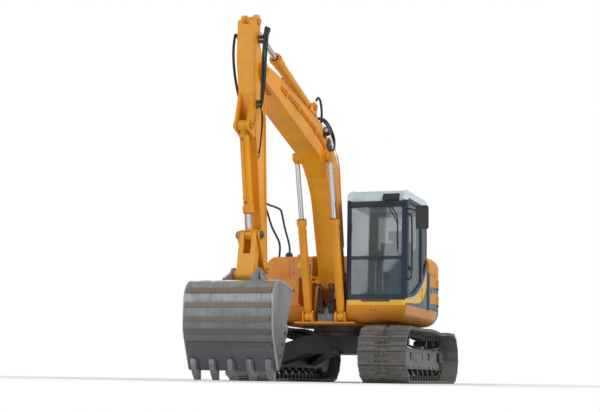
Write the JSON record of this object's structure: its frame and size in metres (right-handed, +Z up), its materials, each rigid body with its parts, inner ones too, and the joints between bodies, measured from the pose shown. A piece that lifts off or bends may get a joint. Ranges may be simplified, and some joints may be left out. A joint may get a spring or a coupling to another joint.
{
  "type": "crawler excavator",
  "caption": "Crawler excavator with a short round tail, cab on the left, one-piece boom, arm and digging bucket, raised over two steel tracks.",
  "frame": {"origin": "on the ground under the swing axis", "axes": "+X forward to the bucket, +Y to the machine left (cab side), +Z up"},
  "size_m": [7.0395, 2.925, 4.5954],
  "materials": {
    "body_paint": "semi-gloss paint",
    "cab_paint": "semi-gloss paint",
    "frame_paint": "matt paint",
    "track_steel": "dusty",
    "bucket_steel": "worn",
    "rod_chrome": "polished",
    "hose_rubber": "matt",
    "black_plastic": "matt",
    "window": "clear",
    "seat_cloth": "woven",
    "lamp_body": "satin"
  },
  "bodies": {
    "undercarriage": {"car_body": "frame_paint", "swing_ring": "track_steel", "track_frames": "frame_paint", "track_left": "track_steel", "track_right": "track_steel", "idlers": "track_steel", "sprockets": "track_steel", "track_rollers": "track_steel"},
    "upper": {"revolving_frame": "body_paint", "belly_skirts": "body_paint", "counterweight": "body_paint", "engine_block": "frame_paint", "rear_housing": "body_paint", "right_housing": "body_paint", "toolbox": "body_paint", "exhaust_stack": "black_plastic", "handrail": "frame_paint", "cab_shell": "cab_paint", "cab_glass": "window", "operator_seat": "seat_cloth", "control_stand": "black_plastic", "mirror": "black_plastic"},
    "hood": {"engine_hood": "body_paint"},
    "door": {"cab_door": "cab_paint", "cab_door_glass": "window"},
    "left_bay_door": {"side_door_left": "body_paint"},
    "right_bay_door": {"side_door_right": "body_paint"},
    "box_lid": {"toolbox_lid": "body_paint"},
    "boom_body": {"boom": "body_paint", "boom_hoses": "hose_rubber", "work_lamp": "lamp_body"},
    "boom_barrel_pair": {"boom_barrels": "body_paint"},
    "boom_rod_pair": {"boom_rods": "rod_chrome"},
    "arm_body": {"arm": "body_paint", "arm_hoses": "hose_rubber"},
    "arm_barrel_body": {"arm_barrel": "body_paint"},
    "arm_rod_body": {"arm_rod": "rod_chrome"},
    "bucket_barrel_body": {"bucket_barrel": "body_paint"},
    "bucket_rod_body": {"bucket_rod": "rod_chrome"},
    "tipping_link_pair": {"tipping_links": "body_paint"},
    "bucket_link_body": {"bucket_link": "body_paint"},
    "bucket_body": {"bucket": "bucket_steel", "bucket_teeth": "bucket_steel"}
  },
  "joints": [
    {"name": "swing", "type": "hinge", "parent": "undercarriage", "child": "upper", "pos_m": [0, 0, 0.85], "axis": [0, 0, 1], "continuous": true},
    {"name": "hood_hinge", "type": "hinge", "parent": "upper", "child": "hood", "pos_m": [-0.223, 0.58, 1.989], "axis": [0, 1, 0], "range_deg": [0, 50]},
    {"name": "door_hinge", "type": "hinge", "parent": "upper", "child": "door", "pos_m": [0.322, 1.26, 2], "axis": [0, 0, 1], "range_deg": [0, 165]},
    {"name": "left_bay_hinge", "type": "hinge", "parent": "upper", "child": "left_bay_door", "pos_m": [-0.74865, 1.258, 1.4], "axis": [0, 0, 1], "range_deg": [0, 110]},
    {"name": "right_bay_hinge", "type": "hinge", "parent": "upper", "child": "right_bay_door", "pos_m": [-0.74865, -1.258, 1.4], "axis": [0, 0, -1], "range_deg": [0, 110]},
    {"name": "lid_hinge", "type": "hinge", "parent": "upper", "child": "box_lid", "pos_m": [0.412, -0.825, 1.574], "axis": [0, -1, 0], "range_deg": [0, 80]},
    {"name": "boom_hinge", "type": "hinge", "parent": "upper", "child": "boom_body", "pos_m": [0.9, 0, 1.5], "axis": [0, -1, 0], "range_deg": [-62, 28]},
    {"name": "boom_barrel_hinge", "type": "hinge", "parent": "upper", "child": "boom_barrel_pair", "pos_m": [1.25, 0, 0.955], "axis": [0, -1, 0], "range_deg": [-55.06, 25.14]},
    {"name": "boom_rod_slide", "type": "slide", "parent": "boom_barrel_pair", "child": "boom_rod_pair", "axis": [0.2851, 0, 0.9585], "range_m": [-0.5873, 0.2669]},
    {"name": "arm_hinge", "type": "hinge", "parent": "boom_body", "child": "arm_body", "pos_m": [4.42919, 0, 3.88944], "axis": [0, 1, 0], "range_deg": [-90, 24]},
    {"name": "arm_barrel_hinge", "type": "hinge", "parent": "boom_body", "child": "arm_barrel_body", "pos_m": [2.20779, 0, 3.8896], "axis": [0, 1, 0], "range_deg": [-1.22, 3.2]},
    {"name": "arm_rod_slide", "type": "slide", "parent": "arm_barrel_body", "child": "arm_rod_body", "axis": [0.9685, 0, 0.2491], "range_m": [-0.8669, 0.2334]},
    {"name": "bucket_hinge", "type": "hinge", "parent": "arm_body", "child": "bucket_body", "pos_m": [4.12919, 0, 1.06944], "axis": [0, 1, 0], "range_deg": [-5, 150]},
    {"name": "bucket_barrel_hinge", "type": "hinge", "parent": "arm_body", "child": "bucket_barrel_body", "pos_m": [4.74919, 0, 3.13944], "axis": [0, 1, 0], "range_deg": [-4.25, 0.62]},
    {"name": "bucket_rod_slide", "type": "slide", "parent": "bucket_barrel_body", "child": "bucket_rod_body", "axis": [-0.22, 0, -0.9755], "range_m": [-0.0326, 0.8905]},
    {"name": "tipping_hinge", "type": "hinge", "parent": "arm_body", "child": "tipping_link_pair", "pos_m": [4.22919, 0, 1.38944], "axis": [0, 1, 0], "range_deg": [-5.14, 139.85]},
    {"name": "bucket_link_hinge", "type": "hinge", "parent": "bucket_body", "child": "bucket_link_body", "pos_m": [4.53919, 0, 1.29944], "axis": [0, 1, 0], "range_deg": [-80.9, 3.18]}
  ],
  "couplings": [
    {"joint": "boom_barrel_hinge", "follows": "boom_hinge", "ratio": 0.88},
    {"joint": "boom_rod_slide", "follows": "boom_hinge", "m_per_rad": 0.54},
    {"joint": "arm_barrel_hinge", "follows": "arm_hinge", "ratio": -0.03},
    {"joint": "arm_rod_slide", "follows": "arm_hinge", "m_per_rad": 0.55},
    {"joint": "bucket_barrel_hinge", "follows": "bucket_hinge", "ratio": -0.025},
    {"joint": "bucket_rod_slide", "follows": "bucket_hinge", "m_per_rad": 0.339},
    {"joint": "tipping_hinge", "follows": "bucket_hinge", "ratio": 0.929},
    {"joint": "bucket_link_hinge", "follows": "bucket_hinge", "ratio": -0.536}
  ]
}
